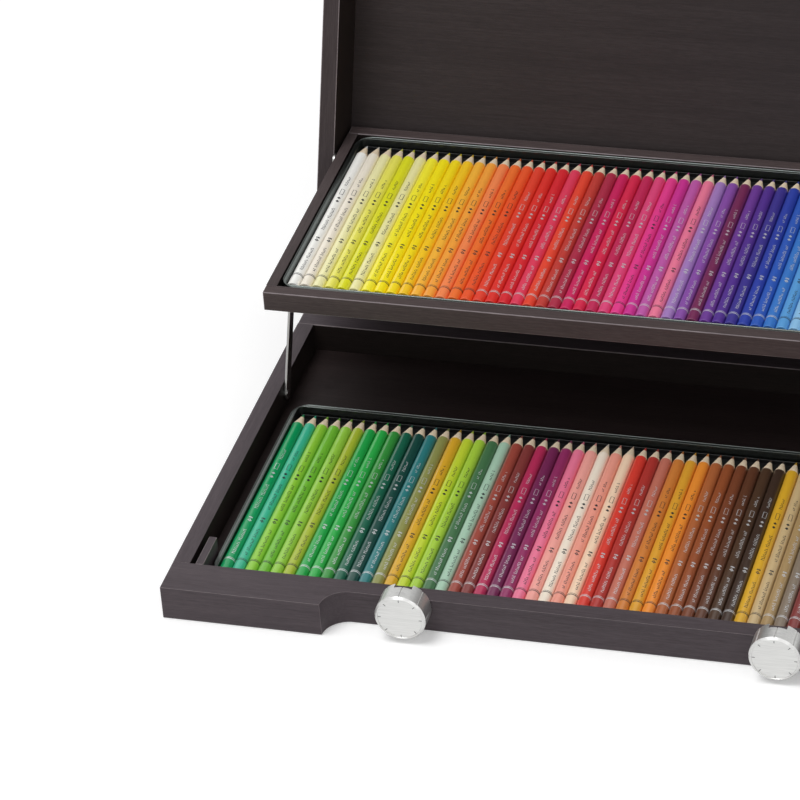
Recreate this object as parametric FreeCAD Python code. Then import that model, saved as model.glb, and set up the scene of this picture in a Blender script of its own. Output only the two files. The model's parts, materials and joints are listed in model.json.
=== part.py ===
import FreeCAD
import Part
import math
import os

# Fold-out pencil case in dark wood, shown open, in millimetres.
# X runs along the long side, Y from the front to the back, Z up.
# The origin is the centre of the underside of the base.
# The lid is hinged along the back. A raised tray hangs between two steel struts and the lid,
# so it stays level while it swings up, and the four pivots of each side form a parallelogram.

os.makedirs("parts", exist_ok=True)

# Case
case_width = 528.0
case_depth = 323.0
base_height = 22.4
base_side_wall = 10.6
lid_side_wall = 10.9
front_rail_width = 27.2
back_rail_width = 27.0
base_floor_thickness = 3.2
lid_panel_thickness = 5.0
parting_gap = 0.2
panel_edge_chamfer = 1.0

# Finger recess in the front rails, where the two knobs sit
recess_depth = 15.7
recess_from_side = 100.4

# Small blocks beside the front corners of the base
block_width = 5.0
block_length = 29.0
block_slot = 3.4

# Pencils
pencil_length = 175.0
pencil_diameter = 7.8
pencil_sides = 8
pencil_pitch = 8.0
pencil_cone_length = 15.0

# Sheet metal tins that hold the pencils
tin_height = 10.5
tin_sheet = 0.5
tin_rim_width = 3.0
tin_rim_thickness = 1.0
tin_corner_radius = 11.5
tin_inner_radius = 3.6
tin_side_margin = 0.2
tin_front_margin = 2.3
tin_back_margin = 2.7
tin_base_setback = 5.0
insert_thickness = 2.3
insert_clearance = 1.4
insert_groove_depth = 1.0
insert_bar_width = 12.0

# Tray
tray_side_rail = 6.8
tray_front_rail = 8.9
tray_back_rail = 8.9
tray_height = 13.3
tray_floor_thickness = 2.0
tray_tin_gap = 0.7
tray_tin_side_gap = 1.0
tray_nest_gap = 0.4

# Struts and their pivots
strut_length = 95.6
strut_lean = 25.0
strut_closed_rise = 2.5
strut_half_width = 4.4
strut_thickness = 1.5
strut_pivot_from_back = 94.0
strut_pivot_height = 13.5
lid_pivot_to_tray_back = 36.4
pivot_radius = 1.6
pivot_clearance = 0.05
pivot_head_radius = 3.0
pivot_head_thickness = 0.25
pivot_grip = 6.0
washer_radius = 3.6
washer_thickness = 0.5
washer_sides = 12
tray_washer_thickness = 0.4
open_pivot_clearance = 0.15

# Hinges at the back
hinge_drop = 3.6
hinge_standoff = 3.5
hinge_knuckle_radius = 3.0
hinge_pin_radius = 1.5
hinge_pin_clearance = 0.06
hinge_width = 50.0
hinge_middle_knuckle = 18.0
hinge_knuckle_gap = 0.3
hinge_leaf_thickness = 1.2
hinge_leaf_relief = 0.3
hinge_base_leaf_foot = 3.8
hinge_lid_leaf_height = 26.0
hinge_from_centre = 170.0

# Lid brackets that carry the back of the tray
bracket_thickness = 1.5
bracket_half_width = 4.2
bracket_length = 30.0
lid_sweep_clearance = 0.6

# Turning knobs
knob_from_side = 150.2
knob_below_rim = 4.5
knob_over_desk = 2.1
knob_wall_gap = 0.5
knob_sides = 48
knob_bevel = 1.4
knob_cup_depth = 4.0
knob_cup_wall = 3.0
knob_notch_width = 11.0
spindle_radius = 1.5
spindle_fit = 0.05
nut_pocket_radius = 3.6
nut_pocket_depth = 4.0
nut_gap = 0.1
nut_flats = 5.4
nut_height = 2.4

# Catches on the lid that drop into the knobs
catch_width = 9.0
catch_thickness = 2.2
catch_reach = 3.2
catch_under_rim = 1.1
catch_plate_height = 19.0
catch_plate_width = 16.0
catch_plate_thickness = 1.2
catch_plate_proud = 0.25
catch_plate_fit = 0.05

# One overrun serves every cut
overrun = 1.0

X_AXIS = FreeCAD.Vector(1, 0, 0)
Y_AXIS = FreeCAD.Vector(0, 1, 0)

# Faces of the case
left = -case_width / 2
right = case_width / 2
front = -case_depth / 2
back = case_depth / 2
base_inner_left = left + base_side_wall
lid_inner_left = left + lid_side_wall
base_inner_front = front + front_rail_width
base_inner_back = back - back_rail_width
lid_rim = base_height + parting_gap
recess_wall = front + recess_depth
knob_centre_height = base_height - knob_below_rim
knob_radius = knob_centre_height - knob_over_desk

# Struts and tray sides across X
strut_left_x = base_inner_left + washer_thickness
strut_inner_x = strut_left_x + strut_thickness
tray_left = strut_inner_x + tray_washer_thickness
tray_right = -tray_left
tray_inner_left = tray_left + tray_side_rail

# Tin and tray stack: a row holds as many pencils as the tray is wide
tin_wall_offset = tin_rim_width - tin_sheet
tin_width = -2 * (tray_inner_left + tray_tin_side_gap)
row_width = tin_width - 2 * (tin_side_margin + tin_rim_width)
pencil_count = int(row_width / pencil_pitch + 0.01)
pencils_width = pencil_count * pencil_pitch
tin_depth = pencil_length + tin_front_margin + tin_back_margin + 2 * tin_rim_width
tin_left = -tin_width / 2
pencil_axis_over_tin = tin_sheet + insert_thickness + pencil_diameter / 2
lower_tin_front = base_inner_front + tin_base_setback
lower_tin_bottom = base_floor_thickness

# Parallelogram: A on the base, B on the tray, H the hinge, P on the lid
pivot_a_y = back - strut_pivot_from_back
pivot_a_z = strut_pivot_height
lean = math.radians(strut_lean)
rise = math.radians(strut_closed_rise)
swing = 90 - strut_closed_rise + strut_lean
tray_closed_bottom = base_floor_thickness + tin_height + tray_nest_gap
pivot_b_open_y = pivot_a_y + strut_length * math.sin(lean)
pivot_b_open_z = pivot_a_z + strut_length * math.cos(lean)
pivot_b_closed_y = pivot_a_y - strut_length * math.cos(rise)
pivot_b_closed_z = pivot_a_z + strut_length * math.sin(rise)
pivot_b_over_tray = pivot_b_closed_z - tray_closed_bottom
tray_bottom = pivot_b_open_z - pivot_b_over_tray
tray_depth = tray_front_rail + tray_tin_gap + tin_depth + tray_tin_gap + tray_back_rail
tray_top = tray_bottom + tray_height
hinge_y = back + hinge_standoff
hinge_z = base_height - hinge_drop
pivot_p_open_y = pivot_b_open_y + hinge_y - pivot_a_y
pivot_p_open_z = pivot_b_open_z + hinge_z - pivot_a_z
pivot_p_closed_y = pivot_b_closed_y + hinge_y - pivot_a_y
pivot_p_closed_z = pivot_b_closed_z + hinge_z - pivot_a_z
tray_back = pivot_p_open_y + lid_pivot_to_tray_back
tray_front = tray_back - tray_depth

# Lid height: the back corner of the tray turns about P inside the lid
tray_back_corner_run = tray_back - pivot_p_open_y
tray_upper_corner_rise = tray_top - pivot_p_open_z
tray_lower_corner_drop = pivot_p_open_z - tray_bottom
tray_corner_reach = max(tray_upper_corner_rise, tray_lower_corner_drop)
tray_sweep_radius = math.hypot(tray_back_corner_run, tray_corner_reach)
lid_inner_top = pivot_p_closed_z + tray_sweep_radius + lid_sweep_clearance
lid_top = lid_inner_top + lid_panel_thickness

# Knob stack along Y
knob_front = front
knob_back = recess_wall - knob_wall_gap
knob_cup_floor = knob_back - knob_cup_depth
nut_pocket_floor = base_inner_front - nut_pocket_depth
spindle_bore = spindle_radius + spindle_fit
knob_inner_radius = knob_radius - knob_cup_wall


def box(x0, x1, y0, y1, z0, z1):
    """Return a box between two corners."""
    return Part.makeBox(x1 - x0, y1 - y0, z1 - z0, FreeCAD.Vector(x0, y0, z0))


def rod_x(radius, x0, x1, y, z):
    """Return a cylinder along X."""
    return Part.makeCylinder(radius, x1 - x0, FreeCAD.Vector(x0, y, z), X_AXIS)


def rod_y(radius, y0, y1, x, z):
    """Return a cylinder along Y."""
    return Part.makeCylinder(radius, y1 - y0, FreeCAD.Vector(x, y0, z), Y_AXIS)


def prism_y(radius, sides, y0, y1, x, z):
    """Return a many-sided rod along Y."""
    points = []
    for index in range(sides + 1):
        angle = 2 * math.pi * index / sides
        points.append(FreeCAD.Vector(x + radius * math.cos(angle), y0, z + radius * math.sin(angle)))
    return Part.Face(Part.makePolygon(points)).extrude(FreeCAD.Vector(0, y1 - y0, 0))


def prism_x(radius, sides, x0, x1, y, z):
    """Return a many-sided rod along X."""
    points = []
    for index in range(sides + 1):
        angle = 2 * math.pi * index / sides
        points.append(FreeCAD.Vector(x0, y + radius * math.cos(angle), z + radius * math.sin(angle)))
    return Part.Face(Part.makePolygon(points)).extrude(FreeCAD.Vector(x1 - x0, 0, 0))


def mirrored(shape):
    """Return the right-hand copy of a left-hand piece."""
    return shape.mirror(FreeCAD.Vector(0, 0, 0), X_AXIS)


def opened(shape):
    """Return a lid piece, drawn closed, swung up to the open pose."""
    copy = shape.copy()
    copy.rotate(FreeCAD.Vector(0, hinge_y, hinge_z), X_AXIS, -swing)
    return copy


def save(name, shapes):
    """Write one node, a single solid or a few loose ones."""
    if len(shapes) == 1:
        shapes[0].exportStep("parts/" + name + ".step")
    else:
        Part.makeCompound(shapes).exportStep("parts/" + name + ".step")


def recess(z0, z1):
    """Return the cutter of the finger recess, with quarter-round inner corners."""
    reach_left = left + recess_from_side
    reach_right = right - recess_from_side
    centre_y = recess_wall - recess_depth
    block = box(reach_left, reach_right, front - overrun, recess_wall, z0, z1)
    corners = []
    for side_x, inward in ((reach_left, 1), (reach_right, -1)):
        centre_x = side_x + inward * recess_depth
        low_x = min(side_x, centre_x)
        high_x = max(side_x, centre_x)
        corner = box(low_x, high_x, centre_y, recess_wall, z0, z1)
        disc = Part.makeCylinder(recess_depth, z1 - z0, FreeCAD.Vector(centre_x, centre_y, z0))
        corners.append(corner.cut(disc))
    return block.cut(corners[0]).cut(corners[1])


# Base frame
knob_x = left + knob_from_side
base_front = box(left, right, front, base_inner_front, 0, base_height)
base_front = base_front.cut(recess(-overrun, base_height + overrun))
for x in (knob_x, -knob_x):
    spindle_hole = rod_y(spindle_bore, front, base_inner_front, x, knob_centre_height)
    pocket = rod_y(nut_pocket_radius, nut_pocket_floor, base_inner_front + overrun, x, knob_centre_height)
    base_front = base_front.cut(spindle_hole).cut(pocket)
save("base_front_rail", [base_front])

base_back = box(left, right, base_inner_back, back, 0, base_height)
save("base_back_rail", [base_back])

base_side = box(left, base_inner_left, base_inner_front, base_inner_back, 0, base_height)
pivot_hole = rod_x(pivot_radius + pivot_clearance, base_inner_left - pivot_grip,
                   base_inner_left + overrun, pivot_a_y, pivot_a_z)
base_side = base_side.cut(pivot_hole)
save("base_left_side", [base_side])
save("base_right_side", [mirrored(base_side)])
save("base_floor", [box(base_inner_left, -base_inner_left, base_inner_front, base_inner_back,
                        0, base_floor_thickness)])

block_left = base_inner_left + block_slot
block = box(block_left, block_left + block_width, base_inner_front, base_inner_front + block_length,
            base_floor_thickness, base_height)
save("base_left_block", [block])
save("base_right_block", [mirrored(block)])


def rounded_plate(x0, x1, y0, y1, z0, z1, radius):
    """Return a plate with four round corners."""
    plate = box(x0, x1, y0, y1, z0, z1)
    upright = [edge for edge in plate.Edges if abs(edge.tangentAt(edge.FirstParameter).z) > 0.5]
    return plate.makeFillet(radius, upright)


def tin(y0, z0):
    """Return a tin: a shallow sheet pan whose rim is folded out flat."""
    y1 = y0 + tin_depth
    x0 = tin_left
    x1 = -tin_left
    z1 = z0 + tin_height
    outer_offset = tin_wall_offset
    inner_offset = tin_rim_width
    inner_radius = tin_inner_radius
    wall_radius = inner_radius + tin_sheet
    rim = rounded_plate(x0, x1, y0, y1, z1 - tin_rim_thickness, z1, tin_corner_radius)
    pan = rounded_plate(x0 + outer_offset, x1 - outer_offset, y0 + outer_offset, y1 - outer_offset,
                        z0, z1 - tin_rim_thickness, wall_radius)
    hollow = rounded_plate(x0 + inner_offset, x1 - inner_offset, y0 + inner_offset, y1 - inner_offset,
                           z0 + tin_sheet, z1 + overrun, inner_radius)
    return rim.fuse(pan).cut(hollow).removeSplitter()


def insert(y0, z0):
    """Return the plate under the pencils, which rest on a bar at each of its ends."""
    front_y = y0 + tin_rim_width + insert_clearance
    back_y = y0 + tin_depth - tin_rim_width - insert_clearance
    x0 = tin_left + tin_rim_width + insert_clearance
    bottom = z0 + tin_sheet
    top = bottom + insert_thickness
    plate = box(x0, -x0, front_y, back_y, bottom, top)
    shallow = box(x0 - overrun, -x0 + overrun, front_y + insert_bar_width, back_y - insert_bar_width,
                  top - insert_groove_depth, top + overrun)
    return plate.cut(shallow)


def pencil():
    """Return one sharpened round pencil along Y with few sides, its blunt end at the origin."""
    corner_radius = pencil_diameter / 2 / math.cos(math.pi / pencil_sides)
    shoulder = pencil_length - pencil_cone_length
    blunt = []
    shoulders = []
    for index in range(pencil_sides + 1):
        angle = 2 * math.pi * (index + 0.5) / pencil_sides
        x = corner_radius * math.cos(angle)
        z = corner_radius * math.sin(angle)
        blunt.append(FreeCAD.Vector(x, 0, z))
        shoulders.append(FreeCAD.Vector(x, shoulder, z))
    tip = FreeCAD.Vector(0, pencil_length, 0)
    faces = [Part.Face(Part.makePolygon(blunt))]
    for index in range(pencil_sides):
        side = [blunt[index], blunt[index + 1], shoulders[index + 1], shoulders[index], blunt[index]]
        facet = [shoulders[index], shoulders[index + 1], tip, shoulders[index]]
        faces.append(Part.Face(Part.makePolygon(side)))
        faces.append(Part.Face(Part.makePolygon(facet)))
    return Part.Solid(Part.Shell(faces))


def pencils(y0, z0):
    """Return the row of pencils of one tin."""
    model = pencil()
    front_y = y0 + tin_rim_width + tin_front_margin
    axis_z = z0 + pencil_axis_over_tin
    row = []
    for index in range(pencil_count):
        stick = model.copy()
        x = -pencils_width / 2 + (index + 0.5) * pencil_pitch
        stick.translate(FreeCAD.Vector(x, front_y, axis_z))
        row.append(stick)
    return row


save("lower_tin", [tin(lower_tin_front, lower_tin_bottom)])
save("lower_insert", [insert(lower_tin_front, lower_tin_bottom)])
save("lower_pencils", pencils(lower_tin_front, lower_tin_bottom))


# Struts, drawn in the open pose
def flat_bar(x0, x1, y_from, z_from, y_to, z_to, half_width):
    """Return a flat bar with round ends between two centres in a plane across X."""
    length = math.hypot(y_to - y_from, z_to - z_from)
    angle = math.degrees(math.atan2(z_to - z_from, y_to - y_from))
    bar = box(x0, x1, y_from, y_from + length, z_from - half_width, z_from + half_width)
    bar.rotate(FreeCAD.Vector(x0, y_from, z_from), X_AXIS, angle)
    bar = bar.fuse(rod_x(half_width, x0, x1, y_from, z_from))
    bar = bar.fuse(rod_x(half_width, x0, x1, y_to, z_to))
    return bar.removeSplitter()


pivot_hole_radius = pivot_radius + pivot_clearance
strut = flat_bar(strut_left_x, strut_inner_x, pivot_a_y, pivot_a_z, pivot_b_open_y, pivot_b_open_z,
                 strut_half_width)
strut = strut.cut(rod_x(pivot_hole_radius, strut_left_x - overrun, strut_inner_x + overrun,
                        pivot_a_y, pivot_a_z))
strut = strut.cut(rod_x(pivot_hole_radius, strut_left_x - overrun, strut_inner_x + overrun,
                        pivot_b_open_y, pivot_b_open_z))
save("strut_left", [strut])
save("strut_right", [mirrored(strut)])

shank_a_end = strut_inner_x
screw_a = rod_x(pivot_radius, base_inner_left - pivot_grip, shank_a_end, pivot_a_y, pivot_a_z)
screw_a = screw_a.fuse(rod_x(pivot_head_radius, shank_a_end, shank_a_end + pivot_head_thickness,
                             pivot_a_y, pivot_a_z)).removeSplitter()
save("strut_base_screw_left", [screw_a])
save("strut_base_screw_right", [mirrored(screw_a)])
washer_bore = pivot_hole_radius / math.cos(math.pi / washer_sides)
washer_a = prism_x(washer_radius, washer_sides, base_inner_left, strut_left_x, pivot_a_y, pivot_a_z)
washer_a = washer_a.cut(prism_x(washer_bore, washer_sides, base_inner_left - overrun, strut_left_x + overrun,
                                pivot_a_y, pivot_a_z))
save("strut_base_washers", [washer_a, mirrored(washer_a)])

# Tray, drawn in the open pose
tray_inner_front = tray_front + tray_front_rail
tray_inner_back = tray_back - tray_back_rail
save("tray_front_rail", [box(tray_left, tray_right, tray_front, tray_inner_front, tray_bottom, tray_top)])
save("tray_back_rail", [box(tray_left, tray_right, tray_inner_back, tray_back, tray_bottom, tray_top)])
tray_side = box(tray_left, tray_inner_left, tray_inner_front, tray_inner_back, tray_bottom, tray_top)
for pivot_y, pivot_z in ((pivot_b_open_y, pivot_b_open_z), (pivot_p_open_y, pivot_p_open_z)):
    tray_side = tray_side.cut(rod_x(pivot_hole_radius, tray_left - overrun, tray_left + pivot_grip,
                                    pivot_y, pivot_z))
save("tray_left_side", [tray_side])
save("tray_right_side", [mirrored(tray_side)])
save("tray_floor", [box(tray_inner_left, -tray_inner_left, tray_inner_front, tray_inner_back,
                        tray_bottom, tray_bottom + tray_floor_thickness)])
upper_tin_front = tray_inner_front + tray_tin_gap
upper_tin_bottom = tray_bottom + tray_floor_thickness
save("upper_tin", [tin(upper_tin_front, upper_tin_bottom)])
save("upper_insert", [insert(upper_tin_front, upper_tin_bottom)])
save("upper_pencils", pencils(upper_tin_front, upper_tin_bottom))

head_b_x = strut_left_x - pivot_head_thickness
screw_b = rod_x(pivot_head_radius, head_b_x, head_b_x + pivot_head_thickness, pivot_b_open_y, pivot_b_open_z)
screw_b = screw_b.fuse(rod_x(pivot_radius, head_b_x, tray_left + pivot_grip,
                             pivot_b_open_y, pivot_b_open_z)).removeSplitter()
save("tray_strut_screws", [screw_b, mirrored(screw_b)])
# Pins at the back of the tray, which turn in the lid brackets
bracket_left_x = lid_inner_left
bracket_inner_x = bracket_left_x + bracket_thickness
pin_p = rod_x(pivot_radius, bracket_left_x, tray_left + pivot_grip, pivot_p_open_y, pivot_p_open_z)
save("tray_lid_pins", [pin_p, mirrored(pin_p)])

# Lid, drawn closed and then swung up
lid_front = box(left, right, front, base_inner_front, lid_rim, lid_inner_top)
lid_front = lid_front.cut(recess(lid_rim - overrun, lid_inner_top + overrun))
catch_plate_front = recess_wall - catch_plate_proud
catch_plate_back = catch_plate_front + catch_plate_thickness
for x in (knob_x, -knob_x):
    half_pocket = catch_plate_width / 2 + catch_plate_fit
    pocket = box(x - half_pocket, x + half_pocket, recess_wall - overrun, catch_plate_back + catch_plate_fit,
                 lid_rim - overrun, lid_rim + catch_plate_height + catch_plate_fit)
    lid_front = lid_front.cut(pocket)
save("lid_front_rail", [opened(lid_front)])

lid_back = box(left, right, base_inner_back, back, lid_rim, lid_inner_top)
save("lid_back_rail", [opened(lid_back)])

bracket_top_z = pivot_p_closed_z + bracket_length
lid_side = box(left, lid_inner_left, base_inner_front, base_inner_back, lid_rim, lid_inner_top)
save("lid_left_side", [opened(lid_side)])
save("lid_right_side", [opened(mirrored(lid_side))])

lid_panel = box(left, right, front, back, lid_inner_top, lid_top)
panel_edges = []
for edge in lid_panel.Edges:
    middle = edge.CenterOfMass
    if middle.z > lid_top - lid_panel_thickness / 2:
        panel_edges.append(edge)
lid_panel = lid_panel.makeChamfer(panel_edge_chamfer, panel_edges)
lid_panel = lid_panel.cut(recess(lid_inner_top - overrun, lid_top + overrun))
save("lid_panel", [opened(lid_panel)])

bracket = flat_bar(bracket_left_x, bracket_inner_x, pivot_p_closed_y, pivot_p_closed_z,
                   pivot_p_closed_y, bracket_top_z - bracket_half_width, bracket_half_width)
bracket = bracket.cut(rod_x(pivot_radius + open_pivot_clearance, bracket_left_x - overrun,
                            bracket_inner_x + overrun, pivot_p_closed_y, pivot_p_closed_z))
save("lid_bracket_left", [opened(bracket)])
save("lid_bracket_right", [opened(mirrored(bracket))])

# Hinges
middle_half = hinge_middle_knuckle / 2
outer_start = middle_half + hinge_knuckle_gap
hinge_half = hinge_width / 2
knuckle_space = hinge_knuckle_radius + hinge_leaf_relief
knuckle_bore = hinge_pin_radius + hinge_pin_clearance
base_leaves = []
lid_leaves = []
pins = []
for centre in (-hinge_from_centre, hinge_from_centre):
    base_leaf = box(centre - hinge_half, centre + hinge_half, back, back + hinge_leaf_thickness,
                    hinge_base_leaf_foot, hinge_z)
    base_leaf = base_leaf.cut(box(centre - outer_start, centre + outer_start, back - overrun, hinge_y,
                                  hinge_z - knuckle_space, hinge_z + overrun))
    for low, high in ((-hinge_half, -outer_start), (outer_start, hinge_half)):
        base_leaf = base_leaf.fuse(rod_x(hinge_knuckle_radius, centre + low, centre + high, hinge_y, hinge_z))
    base_leaf = base_leaf.cut(rod_x(knuckle_bore, centre - hinge_half - overrun,
                                    centre + hinge_half + overrun, hinge_y, hinge_z))
    lid_leaf = box(centre - hinge_half, centre + hinge_half, back + parting_gap,
                   back + hinge_leaf_thickness, hinge_z, hinge_z + hinge_lid_leaf_height)
    for low, high in ((-hinge_half - overrun, -middle_half), (middle_half, hinge_half + overrun)):
        lid_leaf = lid_leaf.cut(box(centre + low, centre + high, back - overrun, hinge_y,
                                    hinge_z - overrun, hinge_z + knuckle_space))
    lid_leaf = lid_leaf.fuse(rod_x(hinge_knuckle_radius, centre - middle_half, centre + middle_half,
                                   hinge_y, hinge_z))
    lid_leaf = lid_leaf.cut(rod_x(knuckle_bore, centre - hinge_half, centre + hinge_half, hinge_y, hinge_z))
    base_leaves.append(base_leaf.removeSplitter())
    lid_leaves.append(lid_leaf.removeSplitter())
    pins.append(rod_x(hinge_pin_radius, centre - hinge_half, centre + hinge_half, hinge_y, hinge_z))
save("hinge_base_leaves", base_leaves)
save("hinge_lid_leaves", [opened(leaf) for leaf in lid_leaves])
save("hinge_pins", pins)

# Catches on the recess wall of the lid, one over each knob
catch_top = knob_centre_height + knob_inner_radius - catch_under_rim
catches = []
for x in (knob_x, -knob_x):
    tongue = box(x - catch_width / 2, x + catch_width / 2, recess_wall - catch_reach, catch_plate_back,
                 catch_top - catch_thickness, catch_top)
    plate = box(x - catch_plate_width / 2, x + catch_plate_width / 2, catch_plate_front, catch_plate_back,
                lid_rim, lid_rim + catch_plate_height)
    plate = plate.fuse(tongue).removeSplitter()
    catches.append(plate)
save("lid_catches", [opened(catch) for catch in catches])


# Knobs
def knob_shape(x):
    """Return a knob with a bevelled face and a cup at its back, notch up."""
    z = knob_centre_height
    body = prism_y(knob_radius, knob_sides, knob_front, knob_back, x, z)
    rims = [edge for edge in body.Edges if abs(edge.CenterOfMass.y - knob_front) < knob_bevel / 2]
    body = body.makeChamfer(knob_bevel, rims)
    cup = prism_y(knob_inner_radius, knob_sides, knob_cup_floor, knob_back + overrun, x, z)
    body = body.cut(cup)
    notch = box(x - knob_notch_width / 2, x + knob_notch_width / 2, knob_cup_floor, knob_back + overrun,
                z, z + knob_radius + overrun)
    body = body.cut(notch)
    return body


nut_start = nut_pocket_floor + nut_gap
spindle_stop = nut_start + nut_height
for side, x in (("left", knob_x), ("right", -knob_x)):
    z = knob_centre_height
    save("knob_" + side, [knob_shape(x)])
    spindle = rod_y(spindle_radius, knob_cup_floor, spindle_stop, x, z)
    save("knob_" + side + "_spindle", [spindle])
    spindle_hole = rod_y(spindle_bore, knob_front, back, x, z)
    nut_corner = nut_flats / math.sqrt(3)
    nut_points = []
    for index in range(7):
        angle = math.radians(60 * index)
        nut_points.append(FreeCAD.Vector(x + nut_corner * math.cos(angle), nut_start,
                                         z + nut_corner * math.sin(angle)))
    nut = Part.Face(Part.makePolygon(nut_points)).extrude(FreeCAD.Vector(0, nut_height, 0))
    save("knob_" + side + "_nut", [nut.cut(spindle_hole)])

print("hinge", hinge_y, hinge_z, "swing", swing)
print("strut base pivot", pivot_a_y, pivot_a_z)
print("strut tray pivot", pivot_b_open_y, pivot_b_open_z)
print("lid tray pivot", pivot_p_open_y, pivot_p_open_z)
print("tray", tray_left, tray_front, tray_back, tray_bottom, tray_top, "lid top", lid_top)
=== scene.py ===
"""Looks of a dark wood pencil case with a fold-out tray: wood, tins, pencils, struts, hinges and knobs."""

import json
import logging
import math
from collections.abc import Callable, Sequence
from dataclasses import dataclass, field
from enum import Enum
from typing import Any

import bmesh
import bpy
from bmesh.types import BMEdge, BMesh, BMFace, BMVert
from bpy.types import ID, Material, Mesh, Node, NodeSocket, NodeTree, Object
from mathutils import Matrix, Vector

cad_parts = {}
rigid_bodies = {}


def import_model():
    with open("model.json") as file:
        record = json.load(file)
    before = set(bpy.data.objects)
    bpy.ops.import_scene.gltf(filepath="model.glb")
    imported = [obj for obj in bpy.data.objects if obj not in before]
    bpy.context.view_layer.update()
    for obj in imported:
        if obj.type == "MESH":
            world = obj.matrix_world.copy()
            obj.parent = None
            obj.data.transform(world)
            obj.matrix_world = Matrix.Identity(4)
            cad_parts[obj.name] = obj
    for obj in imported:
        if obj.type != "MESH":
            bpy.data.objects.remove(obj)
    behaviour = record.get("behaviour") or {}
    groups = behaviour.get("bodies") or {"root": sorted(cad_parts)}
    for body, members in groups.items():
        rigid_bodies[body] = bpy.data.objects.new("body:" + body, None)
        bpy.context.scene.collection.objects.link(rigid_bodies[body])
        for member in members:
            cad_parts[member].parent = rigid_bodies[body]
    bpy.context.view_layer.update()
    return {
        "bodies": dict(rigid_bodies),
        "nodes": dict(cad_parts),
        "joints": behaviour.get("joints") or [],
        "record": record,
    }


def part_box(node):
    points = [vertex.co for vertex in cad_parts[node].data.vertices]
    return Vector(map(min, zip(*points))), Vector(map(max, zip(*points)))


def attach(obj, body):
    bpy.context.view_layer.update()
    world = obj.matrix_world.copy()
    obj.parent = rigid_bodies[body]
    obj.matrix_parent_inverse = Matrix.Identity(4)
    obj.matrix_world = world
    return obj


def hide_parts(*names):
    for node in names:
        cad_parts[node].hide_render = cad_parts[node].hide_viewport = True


LOG = logging.getLogger("pencil_case")
BLACK = (0.0, 0.0, 0.0, 1.0)
WHITE = (1.0, 1.0, 1.0, 1.0)
Triple = tuple[float, float, float]


def linear(code: str) -> tuple[float, float, float, float]:
    """Turn a six-digit display colour into a linear one, by the curve of sRGB.

    Args:
        code: The colour as six hexadecimal digits.

    Returns:
        Red, green, blue and an alpha of 1.
    """
    parts = []
    for start in (0, 2, 4):
        value = int(code[start:start + 2], 16) / 255
        parts.append(value / 12.92 if value <= 0.04045 else ((value + 0.055) / 1.055) ** 2.4)
    return parts[0], parts[1], parts[2], 1.0


class Signal:
    """A shader socket that can be used in a Python expression."""

    def __init__(self, graph: "Graph", socket: NodeSocket) -> None:
        """Keep the graph and the socket."""
        self.graph = graph
        self.socket = socket

    def maths(self, operation: str, other: Any) -> "Signal":
        """Add one Math node that takes this value and another one."""
        return self.graph.node("ShaderNodeMath", {0: self, 1: other}, operation=operation)

    def __add__(self, other: Any) -> "Signal":
        """Add."""
        return self.maths("ADD", other)

    def __sub__(self, other: Any) -> "Signal":
        """Subtract."""
        return self.maths("SUBTRACT", other)

    def __mul__(self, other: Any) -> "Signal":
        """Multiply."""
        return self.maths("MULTIPLY", other)

    def spread(self, middle: float, width: float) -> "Signal":
        """Scale noise to a width about a middle value."""
        return self * width + (middle - width / 2)


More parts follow.
